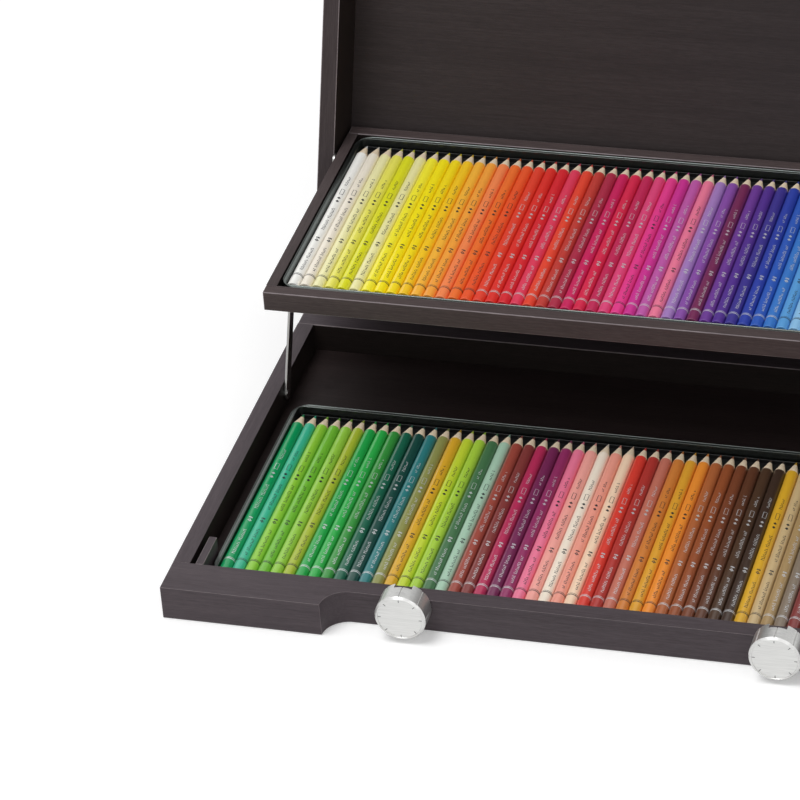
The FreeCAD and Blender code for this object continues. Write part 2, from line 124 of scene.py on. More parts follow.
class Graph:
    """A node tree under construction."""

    def __init__(self, tree: NodeTree) -> None:
        """Empty the tree."""
        self.tree = tree
        self.tree.nodes.clear()

    def join(self, target: Node, values: dict[Any, Any]) -> None:
        """Set or link a node's sockets.

        Args:
            target: The node.
            values: Values or signals by socket name or number.
        """
        for key, value in values.items():
            if isinstance(value, Signal):
                self.tree.links.new(value.socket, target.inputs[key])
            else:
                target.inputs[key].default_value = value

    def node(self, kind: str, inputs: dict[Any, Any], output: Any = 0, **settings: Any) -> Signal:
        """Add one node.

        Args:
            kind: The node's type.
            inputs: Values or signals by socket name or number.
            output: Name or number of the wanted output.
            settings: Its settings.

        Returns:
            The wanted output.
        """
        made = self.tree.nodes.new(kind)
        for key, value in settings.items():
            setattr(made, key, value)
        self.join(made, inputs)
        return Signal(self, made.outputs[output])

    def seen(self) -> Signal:
        """Tell the rays that show the scene from those that light it.

        Returns:
            1 for rays from the camera, a mirror or glass, and 0 for the rays that carry light.
        """
        camera = self.node("ShaderNodeLightPath", {}, "Is Camera Ray")
        glossy = self.node("ShaderNodeLightPath", {}, "Is Glossy Ray")
        through = self.node("ShaderNodeLightPath", {}, "Is Transmission Ray")
        return camera.maths("MAXIMUM", glossy).maths("MAXIMUM", through)

    def place(self, scale: Sequence[float], turn: float = 0.0) -> Signal:
        """Give the piece's own coordinates, turned about X and stretched.

        Args:
            scale: Stretch along each axis.
            turn: Turn about X in radians.

        Returns:
            The coordinates.
        """
        coordinates = self.node("ShaderNodeTexCoord", {}, "Object")
        turned = self.node("ShaderNodeMapping", {"Vector": coordinates, "Rotation": (turn, 0.0, 0.0)})
        return self.node("ShaderNodeMapping", {"Vector": turned, "Scale": tuple(scale)})

    def noise(self, vector: Signal, detail: float, roughness: float) -> Signal:
        """Give fractal noise at unit scale on stretched coordinates."""
        return self.node("ShaderNodeTexNoise", {
            "Vector": vector, "Scale": 1.0, "Detail": detail, "Roughness": roughness})

    def ramp(self, factor: Signal, stops: Sequence[tuple[float, tuple[float, ...]]]) -> Signal:
        """Colour a value by a ramp.

        Args:
            factor: The value.
            stops: Place and colour of each stop.

        Returns:
            The colour.
        """
        made = self.tree.nodes.new("ShaderNodeValToRGB")
        elements = made.color_ramp.elements
        while len(elements) < len(stops):
            elements.new(0.5)
        for element, (place, colour) in zip(elements, stops):
            element.position = place
            element.color = colour
        self.join(made, {"Fac": factor})
        return Signal(self, made.outputs[0])

    def blend(self, factor: Any, first: Any, second: Any) -> Signal:
        """Mix two colours, by the sockets' numbers because the node uses their names more than once."""
        return self.node("ShaderNodeMix", {0: factor, 6: first, 7: second}, 2, data_type="RGBA")

    def bump(self, height: Signal, strength: float, distance: float = 0.0001) -> Signal:
        """Turn a height into a normal."""
        return self.node("ShaderNodeBump", {"Height": height, "Strength": strength, "Distance": distance})


class Surface(Graph):
    """The node tree of a new material with one Principled shader."""

    def __init__(self, name: str) -> None:
        """Make the material and its shader.

        Args:
            name: The material's name.
        """
        self.material = bpy.data.materials.new(name)
        self.material.use_nodes = True
        super().__init__(self.material.node_tree)
        output = self.tree.nodes.new("ShaderNodeOutputMaterial")
        self.shader = self.tree.nodes.new("ShaderNodeBsdfPrincipled")
        self.tree.links.new(self.shader.outputs[0], output.inputs[0])

    def finished(self, values: dict[str, Any]) -> Material:
        """Set or link the shader's sockets and give the material."""
        self.join(self.shader, values)
        return self.material


class Grain(Enum):
    """The axis that a board's grain runs along."""

    ACROSS = 0
    DEEP = 1


@dataclass(frozen=True)
class Pattern:
    """Noise that runs with a board's grain, and how much it counts in the colour."""

    along: float
    across: float
    detail: float
    roughness: float
    share: float


@dataclass(frozen=True)
class WoodFinish:
    """Oiled dark hardwood with short fine pores along the grain."""

    name: str
    deep: str
    mid: str
    pale: str
    grain: Grain = Grain.ACROSS
    tilt: float = 0.0
    roughness: float = 0.5
    contrast: float = 3.0
    broad: Pattern = Pattern(3.0, 60.0, 3.0, 0.55, 0.3)
    streak: Pattern = Pattern(28.0, 900.0, 5.0, 0.6, 0.35)
    fine: Pattern = Pattern(150.0, 1500.0, 3.0, 0.6, 0.35)
    pores: Pattern = Pattern(120.0, 2600.0, 2.0, 0.5, 0.4)
    pore_edge: float = 0.62
    fine_relief: float = 0.7
    pore_relief: float = 0.35
    relief: float = 0.4
    relief_distance: float = 0.0002
    roughness_range: float = 0.22
    specular: float = 0.2

    def noise(self, graph: Graph, pattern: Pattern) -> Signal:
        """Give a pattern's noise, stretched along the grain.

        Args:
            graph: The tree that takes the nodes.
            pattern: The pattern.

        Returns:
            The noise.
        """
        scale = [pattern.across] * 3
        scale[self.grain.value] = pattern.along
        return graph.noise(graph.place(scale, self.tilt), pattern.detail, pattern.roughness)

    def build(self) -> Material:
        """Make the material.

        Returns:
            The finished material.
        """
        graph = Surface(self.name)
        patterns = (self.broad, self.streak, self.fine, self.pores)
        broad, streak, fine, pores = (self.noise(graph, pattern) for pattern in patterns)
        tone = broad * self.broad.share + streak * self.streak.share + fine * self.fine.share
        tone = graph.node("ShaderNodeClamp", {0: (tone - 0.5) * self.contrast + 0.5})
        colour = graph.ramp(tone, [
            (0.0, linear(self.deep)), (0.5, linear(self.mid)), (1.0, linear(self.pale))])
        pore = pores.maths("GREATER_THAN", self.pore_edge)
        relief = fine * self.fine_relief - pore * self.pore_relief
        return graph.finished({
            "Base Color": graph.blend(pore * self.pores.share, colour, linear(self.deep)),
            "Roughness": fine.spread(self.roughness, self.roughness_range),
            "Specular IOR Level": self.specular,
            "Normal": graph.bump(relief, self.relief, self.relief_distance),
        })


@dataclass(frozen=True)
class PaintFinish:
    """Smooth paint, lacquer or plastic of one colour or, where it has none, of each face's own tint."""

    name: str
    colour: str | None
    roughness: float
    metallic: float = 0.0
    coat: float = 0.0
    coat_roughness: float = 0.12
    scale: Triple = (700.0, 700.0, 700.0)
    detail: float = 3.0
    grit: float = 0.55
    unevenness: float = 0.12
    relief: float = 0.05
    roughness_range: float = 0.1

    def build(self) -> Material:
        """Make the material.

        Returns:
            The finished material.
        """
        graph = Surface(self.name)
        fleck = graph.noise(graph.place(self.scale), self.detail, self.grit)
        if self.colour is None:
            colour: Any = graph.node("ShaderNodeAttribute", {}, "Color", attribute_name="Tint")
        else:
            colour = linear(self.colour)
        return graph.finished({
            "Base Color": graph.blend(fleck * self.unevenness, colour, BLACK),
            "Roughness": fleck.spread(self.roughness, self.roughness_range),
            "Metallic": self.metallic,
            "Coat Weight": self.coat,
            "Coat Roughness": self.coat_roughness,
            "Normal": graph.bump(fleck, self.relief),
        })


@dataclass(frozen=True)
class MetalFinish(PaintFinish):
    """Bare metal with fine brushing."""

    metallic: float = 1.0
    grit: float = 0.6
    unevenness: float = 0.35
    relief: float = 0.12
    roughness_range: float = 0.16


@dataclass(frozen=True)
class CedarFinish:
    """Bare sharpened wood of a pencil, with fibres along it."""

    name: str
    pale: str
    warm: str
    fibres: Triple = (2600.0, 120.0, 2600.0)
    detail: float = 4.0
    grit: float = 0.6
    warm_until: float = 0.3
    pale_from: float = 0.7
    relief: float = 0.2
    roughness: float = 0.65
    roughness_range: float = 0.2

    def build(self) -> Material:
        """Make the material.

        Returns:
            The finished material.
        """
        graph = Surface(self.name)
        fibre = graph.noise(graph.place(self.fibres), self.detail, self.grit)
        return graph.finished({
            "Base Color": graph.ramp(fibre, [
                (self.warm_until, linear(self.warm)), (self.pale_from, linear(self.pale))]),
            "Roughness": fibre.spread(self.roughness, self.roughness_range),
            "Normal": graph.bump(fibre, self.relief),
        })


Finish = WoodFinish | PaintFinish | CedarFinish


def put(name: str, data: ID) -> Object:
    """Put a new object with its data into the scene.

    Args:
        name: The object's name.
        data: What it shows.

    Returns:
        The object.
    """
    placed = bpy.data.objects.new(name, data)
    bpy.context.scene.collection.objects.link(placed)
    return placed


def mesh_of(name: str, form: BMesh) -> Mesh:
    """Turn a form into a mesh and let the form go.

    Args:
        name: The mesh's name.
        form: The form.

    Returns:
        The mesh.
    """
    mesh = bpy.data.meshes.new(name)
    form.to_mesh(mesh)
    form.free()
    return mesh


def add_box(form: BMesh, size: Sequence[float], centre: Sequence[float]) -> list[BMVert]:
    """Add a box to a form.

    Args:
        form: The form.
        size: The box's length along each axis.
        centre: Its middle.

    Returns:
        Its corners.
    """
    verts = bmesh.ops.create_cube(form, size=1.0)["verts"]
    bmesh.ops.scale(form, verts=verts, vec=size)
    bmesh.ops.translate(form, verts=verts, vec=centre)
    return verts


def extrude_ring(form: BMesh, edges: Sequence[BMEdge],
                 carry: Callable[[Vector], Vector]) -> tuple[list[BMFace], list[BMEdge]]:
    """Extrude an open ring of edges.

    Args:
        form: The form that has the ring.
        edges: The ring.
        carry: Gives the new place of each of its corners.

    Returns:
        The new faces and the new open ring.
    """
    grown = bmesh.ops.extrude_edge_only(form, edges=edges)["geom"]
    moved = {item for item in grown if isinstance(item, BMVert)}
    for vert in moved:
        vert.co = carry(vert.co)
    faces = [item for item in grown if isinstance(item, BMFace)]
    ring = [item for item in grown if isinstance(item, BMEdge) and moved.issuperset(item.verts)]
    return faces, ring


def close_ring(form: BMesh, edges: Sequence[BMEdge]) -> list[BMFace]:
    """Cap the open ring of a form and turn its faces outwards.

    Args:
        form: The form.
        edges: The ring.

    Returns:
        The faces of the cap.
    """
    cap = bmesh.ops.contextual_create(form, geom=edges)["faces"]
    bmesh.ops.recalc_face_normals(form, faces=form.faces)
    return cap


def settle(form: BMesh) -> None:
    """Order a form's faces by place, because an extrusion gives them in another order each run.

    Args:
        form: The form.
    """
    ordered = sorted(form.faces, key=lambda face: tuple(face.calc_center_median()))
    for index, face in enumerate(ordered):
        face.index = index
    form.faces.sort()


def ring_spot(spot: Vector, axis: int, radius: float, place: float) -> Vector:
    """Move a point of a round ring to another radius and to a place along the ring's axis.

    Args:
        spot: The point.
        axis: Number of the ring's axis.
        radius: The new distance from that axis.
        place: The new place along it.

    Returns:
        The moved point.
    """
    moved = spot.copy()
    moved[axis] = 0.0
    moved = moved.normalized() * radius
    moved[axis] = place
    return moved


@dataclass(frozen=True)
class PaintedShade:
    """Painted shade: a darker second finish for the faces that look one way."""

    finish: Finish
    towards: Vector


@dataclass
class Workshop:
    """The loaded case and the finishes that its pieces take."""

    frame: dict[str, Any]
    finishes: dict[str, Material] = field(default_factory=dict)
    weld: float = 0.000002
    flat_angle: float = math.radians(0.5)
    sharp_angle: float = math.radians(32)
    facing: float = 0.99

    def finish(self, kind: Finish) -> Material:
        """Give a finish's material, made once.

        Args:
            kind: The finish.

        Returns:
            Its material.
        """
        if kind.name not in self.finishes:
            self.finishes[kind.name] = kind.build()
        return self.finishes[kind.name]

    def add(self, name: str, form: BMesh, body: str, slot: str,
            finishes: Sequence[Finish], replaced: Sequence[str] = ()) -> Object:
        """Turn a form into a named piece that rides on a body.

        Args:
            name: The piece's name.
            form: Its shape, in the place where it belongs.
            body: The body that carries it.
            slot: The material slot of the record; not used.
            finishes: Its finishes, by face index.
            replaced: The plain solids that it stands for.

        Returns:
            The new piece.
        """
        mesh = mesh_of(name, form)
        for finish in finishes:
            mesh.materials.append(self.finish(finish))
        piece = put(name, mesh)
        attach(piece, body)
        if replaced:
            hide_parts(*replaced)
        LOG.info("%s: %d faces", name, len(mesh.polygons))
        return piece

    def copy_form(self, node: str, joined: bool = True) -> BMesh:
        """Give a copy of a plain solid's shape.

        Args:
            node: The plain solid's name.
            joined: Whether the triangles of a flat side become one face.

        Returns:
            The form.
        """
        form = bmesh.new()
        form.from_mesh(self.frame["nodes"][node].data)
        bmesh.ops.remove_doubles(form, verts=form.verts, dist=self.weld)
        if joined:
            bmesh.ops.dissolve_limit(form, angle_limit=self.flat_angle, verts=form.verts, edges=form.edges)
        return form

    def soften(self, piece: Object, width: float, segments: int = 2, highlighted_edges: bool = False) -> None:
        """Break a piece's sharp edges and shade its round ones smooth.

        Args:
            piece: The piece.
            width: Width of the broken edges.
            segments: Steps across a broken edge.
            highlighted_edges: Whether the broken edges take the piece's last material, a lighter wood painted
                as highlight.
        """
        for polygon in piece.data.polygons:
            polygon.use_smooth = True
        piece.data.set_sharp_from_angle(angle=self.sharp_angle)
        bevel = piece.modifiers.new("edges", "BEVEL")
        bevel.width = width
        bevel.segments = segments
        bevel.limit_method = "ANGLE"
        bevel.angle_limit = self.sharp_angle
        bevel.harden_normals = True
        # When asked, the broken edges take the last material, a painted highlight.
        bevel.material = len(piece.data.materials) - 1 if highlighted_edges else -1
        shading = piece.modifiers.new("shading", "WEIGHTED_NORMAL")
        shading.keep_sharp = True

    def dress(self, node: str, body: str, slot: str, finish: Finish, edge: float,
              segments: int = 2, painted_shade: PaintedShade | None = None, joined: bool = True) -> None:
        """Stand a softened copy in for a plain solid.

        Args:
            node: The plain solid's name.
            body: The body that carries it.
            slot: The material slot of the record.
            finish: The copy's finish.
            edge: Width of the broken edges.
            segments: Steps across a broken edge.
            painted_shade: Painted shade, a darker second finish for some of its faces.
            joined: Whether its flat sides become single faces.
        """
        form = self.copy_form(node, joined)
        finishes = [finish]
        if painted_shade is not None:
            finishes.append(painted_shade.finish)
            # The faces that look that way take the darker finish, as painted shade.
            for face in form.faces:
                if face.normal.dot(painted_shade.towards) > self.facing:
                    face.material_index = 1
        # The dark wood boards get lighter broken edges, a painted highlight.
        highlighted_edges = slot == "dark_wood"
        if highlighted_edges:
            finishes.append(PAINTED_EDGE_HIGHLIGHT)
        self.soften(self.add(node + "_dressed", form, body, slot, finishes, [node]), edge, segments, highlighted_edges)

    def paint_node(self, node: str, finish: Finish) -> None:
        """Give a plain solid that stays a better material.

        Args:
            node: The plain solid's name.
            finish: Its new finish.
        """
        mesh = self.frame["nodes"][node].data
        mesh.materials.clear()
        mesh.materials.append(self.finish(finish))


LID_TILT = math.radians(112.5)
WENGE_X = WoodFinish("wenge_along_x", "3a3235", "494145", "564d50")
WENGE_Y = WoodFinish("wenge_along_y", "3a3235", "484044", "554c4f", Grain.DEEP)
# The lid wood is a darker copy of the base wood: painted shade on the lid, which faces forwards and down.
LID_X_PAINTED_SHADE = WoodFinish("lid_wood_along_x_painted_shade", "2c2526", "383031", "443b3c", roughness=0.6)
LID_Y_PAINTED_SHADE = WoodFinish("lid_wood_sides_painted_shade", "2a2324", "362e2f", "41393a", Grain.DEEP, LID_TILT, 0.6)
TRAY_X = WoodFinish("tray_wood_along_x", "352b2b", "433939", "524746", roughness=0.6)
TRAY_Y = WoodFinish("tray_wood_along_y", "332a2a", "403737", "4e4444", Grain.DEEP, roughness=0.6)
# Darker wood for the boards' inward faces: painted shade inside the frames.
PAINTED_INNER_SHADE = WoodFinish("painted_inner_shade", "16110f", "1f1917", "29211f")
BOARD = WoodFinish("floor_board", "1f1816", "292020", "352b2a")
PANEL = WoodFinish("lid_board", "221c1c", "2c2525", "373030", roughness=0.6)
# Lighter wood on the broken edges of the dark wood boards: painted highlight along the edges.
PAINTED_EDGE_HIGHLIGHT = WoodFinish("painted_edge_highlight", "5e5557", "766d6f", "8d8486", roughness=0.45)
TIN = MetalFinish("tin_sheet", "757b78", 0.3, scale=(1400.0, 1400.0, 1400.0), relief=0.03)
STEEL = MetalFinish("strut_steel", "b4b3b1", 0.3, scale=(900.0, 30.0, 30.0))
BRIGHT = MetalFinish("bright_steel", "d8d8d6", 0.2, scale=(300.0, 300.0, 300.0), relief=0.05)
KNOB = MetalFinish("knob_steel", "e4e4e2", 0.36, scale=(60.0, 900.0, 1800.0), relief=0.14)
INSERT = PaintFinish("insert_plastic", "141516", 0.4)
PENCIL_PAINT = PaintFinish("pencil_lacquer", None, 0.32, coat=0.35, scale=(300.0, 300.0, 300.0),
                           unevenness=0.06)
PENCIL_LEAD = PaintFinish("pencil_lead", None, 0.6, scale=(2500.0, 2500.0, 2500.0), unevenness=0.7)
PENCIL_WOOD = CedarFinish("pencil_cedar", "f4e6cf", "e4cba8")
# Dark foil: the print and rings on pale pencils, whose dark tone is a painted reflection of dark
# surroundings, and painted shade in the knob's engraved ticks and the screws' cross slots.
DARK_PRINT_AND_PAINTED_SHADE = PaintFinish("dark_print_and_painted_shade", "3c3d41", 0.34, 0.4)
FOIL_PALE = PaintFinish("pale_foil", "dcdee0", 0.3, 0.4)


@dataclass
class Swing:
    """The turn that opens the lid, read from the record's joints."""

    frame: dict[str, Any]

    def joint(self, name: str) -> dict[str, Any]:
        """Find a joint in the record."""
        joints = self.frame["record"]["behaviour"]["joints"]
        return next(joint for joint in joints if joint["name"] == name)

    def angle(self) -> float:
        """Give the angle between the closed lid and the open one."""
        return math.radians(self.joint("lid_hinge")["range_deg"][1])

    def turn(self) -> Matrix:
        """Give the rotation from the closed lid to the open one."""
        return Matrix.Rotation(-self.angle(), 3, "X")

    def opened(self, spot: Sequence[float]) -> Vector:
        """Move a point of the closed lid to where it is on the open one."""
        hinge = Vector((spot[0], *self.joint("lid_hinge")["pos_m"][1:]))
        return self.turn() @ (Vector(spot) - hinge) + hinge

    def closed_pivot_y(self) -> float:
        """Find the tray's rear pivot in the closed lid.

        Returns:
            Its place along Y.
        """
        foot = self.joint("strut_left_pivot")["pos_m"]
        head = self.joint("tray_pivot")["pos_m"]
        reach = math.hypot(head[1] - foot[1], head[2] - foot[2])
        start = math.atan2(head[2] - foot[2], head[1] - foot[1])
        return self.joint("lid_hinge")["pos_m"][1] + reach * math.cos(start + self.angle())


@dataclass
class Joinery:
    """The wooden frames of base, tray and lid."""

    shop: Workshop
    swing: Swing
    edge: float = 0.0005
    block_edge: float = 0.0004
    floor_edge: float = 0.0002
    panel_edge: float = 0.0003

    def board_set(self, body: str, across: WoodFinish, deep: WoodFinish, turn: Matrix) -> None:
        """Dress the four boards of one frame, with painted shade on the side that looks inwards.

        Args:
            body: The frame's body, with which the names of its boards begin.
            across: Finish of the two rails.
            deep: Finish of the two sides.
            turn: The frame's rotation from level.
        """
        inward = {
            "front_rail": (0.0, 1.0, 0.0), "back_rail": (0.0, -1.0, 0.0),
            "left_side": (1.0, 0.0, 0.0), "right_side": (-1.0, 0.0, 0.0),
        }
        for part, direction in inward.items():
            rail = part.endswith("rail")
            self.shop.dress("%s_%s" % (body, part), body, "dark_wood", across if rail else deep, self.edge,
                            painted_shade=PaintedShade(PAINTED_INNER_SHADE, turn @ Vector(direction)), joined=rail)

    def build(self) -> None:
        """Dress every board of the case."""
        shop = self.shop
        level = Matrix.Identity(3)
        self.board_set("base", WENGE_X, WENGE_Y, level)
        self.board_set("tray", TRAY_X, TRAY_Y, level)
        self.board_set("lid", LID_X_PAINTED_SHADE, LID_Y_PAINTED_SHADE, self.swing.turn())
        for side in ("left", "right"):
            shop.dress("base_%s_block" % side, "base", "dark_wood", WENGE_Y, self.block_edge)
        for node, body in (("base_floor", "base"), ("tray_floor", "tray")):
            shop.dress(node, body, "dark_board", BOARD, self.floor_edge, 1)
        shop.dress("lid_panel", "lid", "dark_board", PANEL, self.panel_edge, 1)


@dataclass(frozen=True)
class Oblong:
    """One rounded oblong in the section of a pan: inset from the rim, corner radius and height."""

    inset: float
    corner: float
    z: float

    def carry(self, spot: Vector, half: Vector, other: "Oblong") -> Vector:
        """Carry a place on this oblong over to another one.

        Args:
            spot: The place on this one, from the pan's middle.
            half: Half the pan's length and width.
            other: The other oblong.

        Returns:
            The matching place.
        """
        placed = Vector((0.0, 0.0, other.z))
        for axis in (0, 1):
            sign = math.copysign(1.0, spot[axis])
            share = (spot[axis] - sign * (half[axis] - self.inset - self.corner)) / self.corner
            placed[axis] = sign * (half[axis] - other.inset - other.corner) + share * other.corner
        return placed


@dataclass
class Tin:
    """One sheet metal pan with its beaded rim and the formed plate inside."""

    shop: Workshop
    level: str
    body: str
    corner: float = 0.0115
    inner_corner: float = 0.0036
    corner_steps: int = 10
    rim: float = 0.003
    rim_depth: float = 0.001
    sheet: float = 0.0005
    bead: float = 0.0005
    bead_height: float = 0.00025
    pan_edge: float = 0.0001
    lip_height: float = 0.0027
    lip_thickness: float = 0.0006
    rib_height: float = 0.0004
    rib_width: float = 0.0012
    rib_length: float = 0.009
    rib_inset: float = 0.0065
    rib_pitch: float = 0.008
    plate_edge: float = 0.00012

    def profile(self, low: Sequence[float], high: Sequence[float]) -> list[Oblong]:
        """List the pan's rounded oblongs from its underside, over the rim, to its floor.

        Args:
            low: The pan's lowest corner.
            high: The pan's highest corner.

        Returns:
            The oblongs in that order.
        """
        top = high[2]
        wall = self.inner_corner + self.sheet
        step = self.bead_height
        rings = [
            Oblong(self.rim - self.sheet, wall, low[2]),
            Oblong(self.rim - self.sheet, wall, top - self.rim_depth),
            Oblong(0.0, self.corner, top - self.rim_depth),
            Oblong(0.0, self.corner, top),
        ]
        for inset, z in ((self.bead, top), (self.bead + step, top - step),
                         (self.rim - self.bead - step, top - step), (self.rim - self.bead, top)):
            rings.append(Oblong(inset, self.corner + (self.inner_corner - self.corner) * inset / self.rim, z))
        rings.append(Oblong(self.rim, self.inner_corner, top))
        rings.append(Oblong(self.rim, self.inner_corner, low[2] + self.sheet))
        return rings

    def pan_form(self) -> BMesh:
        """Model the pan as one closed sheet.

        Returns:
            The form.
        """
        low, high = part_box(self.level + "_tin")
        centre = Vector(((low[0] + high[0]) / 2, (low[1] + high[1]) / 2, 0.0))
        half = Vector(((high[0] - low[0]) / 2, (high[1] - low[1]) / 2, 0.0))
        rings = self.profile(low, high)
        first = rings[0]
        form = bmesh.new()
        verts = bmesh.ops.create_grid(form, x_segments=1, y_segments=1, size=1.0)["verts"]
        bmesh.ops.scale(form, verts=verts, vec=(half.x - first.inset, half.y - first.inset, 1.0))
        bmesh.ops.translate(form, verts=verts, vec=centre + Vector((0.0, 0.0, first.z)))
        bmesh.ops.bevel(form, geom=verts, affect="VERTICES", offset=first.corner,
                        segments=self.corner_steps, profile=0.5)
        edges = list(form.edges)
        for before, after in zip(rings, rings[1:]):
            _, edges = extrude_ring(form, edges,
                                    lambda spot: centre + before.carry(spot - centre, half, after))
        close_ring(form, edges)
        settle(form)
        return form

    def insert_form(self, node: str) -> BMesh:
        """Model the plate with a lip at each end and low ribs between the pencils.

        Args:
            node: The plain plate's name.

        Returns:
            The form.
        """
        form = self.shop.copy_form(node)
        low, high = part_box(node)
        middle = (low[0] + high[0]) / 2
        width = high[0] - low[0]
        for y in (low[1] + self.lip_thickness / 2, high[1] - self.lip_thickness / 2):
            add_box(form, (width, self.lip_thickness, self.lip_height),
                    (middle, y, high[2] + self.lip_height / 2))
        count = int(width / self.rib_pitch)
        for index in range(count + 1):
            x = middle + (index - count / 2) * self.rib_pitch
            for y in (low[1] + self.rib_inset, high[1] - self.rib_inset):
                add_box(form, (self.rib_width, self.rib_length, self.rib_height),
                        (x, y, high[2] + self.rib_height / 2))
        return form

    def build(self) -> None:
        """Model the tin and the plate on its floor."""
        shop = self.shop
        node = self.level + "_tin"
        pan = shop.add(node + "_pressed", self.pan_form(), self.body, "grey_tin", [TIN], [node])
        shop.soften(pan, self.pan_edge)
        node = self.level + "_insert"
        plate = shop.add(node + "_formed", self.insert_form(node), self.body, "black_insert",
                         [INSERT], [node])
        shop.soften(plate, self.plate_edge)


class Zone(Enum):
    """Material numbers on a pencil."""

    PAINT = 0
    WOOD = 1
    LEAD = 2
    # Print and rings whose dark tone on pale pencils is a painted reflection of dark surroundings.
    DARK_PRINT_PAINTED_REFLECTION = 3
    PALE_FOIL = 4


@dataclass(frozen=True)
class PrintRun:
    """A stretch of fine printed bars and dots that spell nothing."""

    start: float
    stop: float
    height: float
    step: float = 0.00155
    weight: float = 0.0004
    dot_shift: float = 0.3
    dot_length: float = 0.55
    dot_weight: float = 0.8


@dataclass(frozen=True)
class PrintMark:
    """One printed patch: its place along and round the pencil, its sizes that way and its turn in degrees."""

    along: float
    side: float
    length: float
    height: float
    turn: float = 0.0


@dataclass
class Pencil:
    """One round sharpened pencil with a double foil ring and printed marks."""

    length: float
    variant: int
    radius: float = 0.0039
    cone: float = 0.015
    lead: float = 0.0052
    blunt_tip: float = 0.0009
    samples: int = 36
    ring_start: float = 0.0102
    ring_width: float = 0.0007
    ring_gap: float = 0.0006
    second_ring: float = 0.6
    end_round: float = 0.0004
    end_share: float = 0.3
    lift: float = 0.00004
    sink: float = 0.00008
    print_turn: float = math.radians(17)
    word: int = 9
    word_shift: int = 3
    bar_step: int = 3
    bar_shift: int = 5
    dot_cycle: int = 3
    bars: tuple[float, ...] = (1.0, 0.62, 0.62, 0.86, 0.58, 0.62, 1.0, 0.6)
    dot_high: float = 0.38
    dot_low: float = -0.2
    runs: tuple[PrintRun, ...] = (
        PrintRun(0.0155, 0.0440, 0.0021), PrintRun(0.0640, 0.0930, 0.0023), PrintRun(0.1180, 0.1290, 0.0018))
    ornaments: tuple[PrintMark, ...] = (
        PrintMark(0.0515, 0.0, 0.0021, 0.0021, 45.0), PrintMark(0.0545, 0.0, 0.0012, 0.0024),
        PrintMark(0.0990, 0.0, 0.0017, 0.0017, 45.0), PrintMark(0.1030, 0.0, 0.0017, 0.0017, 45.0),
        PrintMark(0.1105, -0.0011, 0.0060, 0.0003), PrintMark(0.1105, 0.0011, 0.0060, 0.0003),
        PrintMark(0.1075, 0.0, 0.0003, 0.0024), PrintMark(0.1135, 0.0, 0.0003, 0.0024))

    def stations(self) -> list[tuple[Zone, float, float]]:
        """List the rings of the body from the blunt end to the point.

        Returns:
            Zone, radius and place of each ring.
        """
        slope = self.radius / self.cone
        first_end = self.ring_start + self.ring_width
        second_end = first_end + self.ring_gap + self.ring_width * self.second_ring
        return [
            (Zone.PAINT, self.radius - self.end_round * self.end_share, self.end_round * self.end_share),
            (Zone.PAINT, self.radius, self.end_round),
            (Zone.PAINT, self.radius, self.ring_start),
            (Zone.DARK_PRINT_PAINTED_REFLECTION, self.radius, first_end),
            (Zone.PAINT, self.radius, first_end + self.ring_gap),
            (Zone.DARK_PRINT_PAINTED_REFLECTION, self.radius, second_end),
            (Zone.PAINT, self.radius, self.length - self.cone),
            (Zone.WOOD, slope * self.lead, self.length - self.lead),
            (Zone.LEAD, slope * self.blunt_tip, self.length - self.blunt_tip),
        ]

    def body(self, form: BMesh) -> None:
        """Model the painted wood, the cone and the lead.

        Args:
            form: The pencil's form.
        """
        bmesh.ops.create_circle(form, cap_ends=True, segments=self.samples,
                                radius=self.radius - self.end_round)
        upright = Matrix.Rotation(math.pi / 2, 3, "X")
        bmesh.ops.rotate(form, verts=form.verts, matrix=upright)
        edges = list(form.edges)
        for zone, radius, along in self.stations():
            faces, edges = extrude_ring(form, edges, lambda spot: ring_spot(spot, 1, radius, along))
            for face in faces:
                face.material_index = zone.value
                face.smooth = True
        for face in close_ring(form, edges):
            face.material_index = Zone.LEAD.value

    def lay(self, form: BMesh, mark: PrintMark) -> None:
        """Lay one mark on the round body, as a thin closed box.

        Args:
            form: The pencil's form.
            mark: The mark.
        """
        verts = bmesh.ops.create_grid(form, x_segments=2, y_segments=1, size=0.5)["verts"]
        faces = list({face for vert in verts for face in vert.link_faces})
        turn = Matrix.Rotation(math.radians(mark.turn), 3, "Z")
        bmesh.ops.scale(form, verts=verts, vec=(mark.height, mark.length, 1.0))
        bmesh.ops.rotate(form, verts=verts, matrix=turn)
        grown = bmesh.ops.extrude_face_region(form, geom=faces)["geom"]
        top = [item for item in grown if isinstance(item, BMVert)]
        bmesh.ops.translate(form, verts=top, vec=(0.0, 0.0, self.lift + self.sink))
        for vert in [*verts, *top]:
            reach = self.radius - self.sink + vert.co.z
            angle = self.print_turn + (vert.co.x + mark.side) / self.radius
            vert.co = Vector((reach * math.sin(angle), vert.co.y + mark.along, reach * math.cos(angle)))
        patch = list({face for vert in [*verts, *top] for face in vert.link_faces})
        bmesh.ops.recalc_face_normals(form, faces=patch)
        for face in patch:
            face.material_index = Zone.DARK_PRINT_PAINTED_REFLECTION.value

    def letters(self, run: PrintRun) -> list[PrintMark]:
        """List the bars and dots of one printed run, with a space after each word.

        Args:
            run: The run.

        Returns:
            The marks in order.
        """
        marks = []
        for index in range(int((run.stop - run.start) / run.step)):
            if (index + self.variant * self.word_shift) % self.word == self.word - 1:
                continue
            share = self.bars[(index * self.bar_step + self.variant * self.bar_shift) % len(self.bars)]
            place = run.start + (index + 0.5) * run.step
            marks.append(PrintMark(place, run.height * (1.0 - share) / 2, run.weight, run.height * share))
            side = run.height * (self.dot_high if (index + self.variant) % self.dot_cycle else self.dot_low)
            marks.append(PrintMark(place + run.step * run.dot_shift, side, run.step * run.dot_length,
                                   run.weight * run.dot_weight))
        return marks

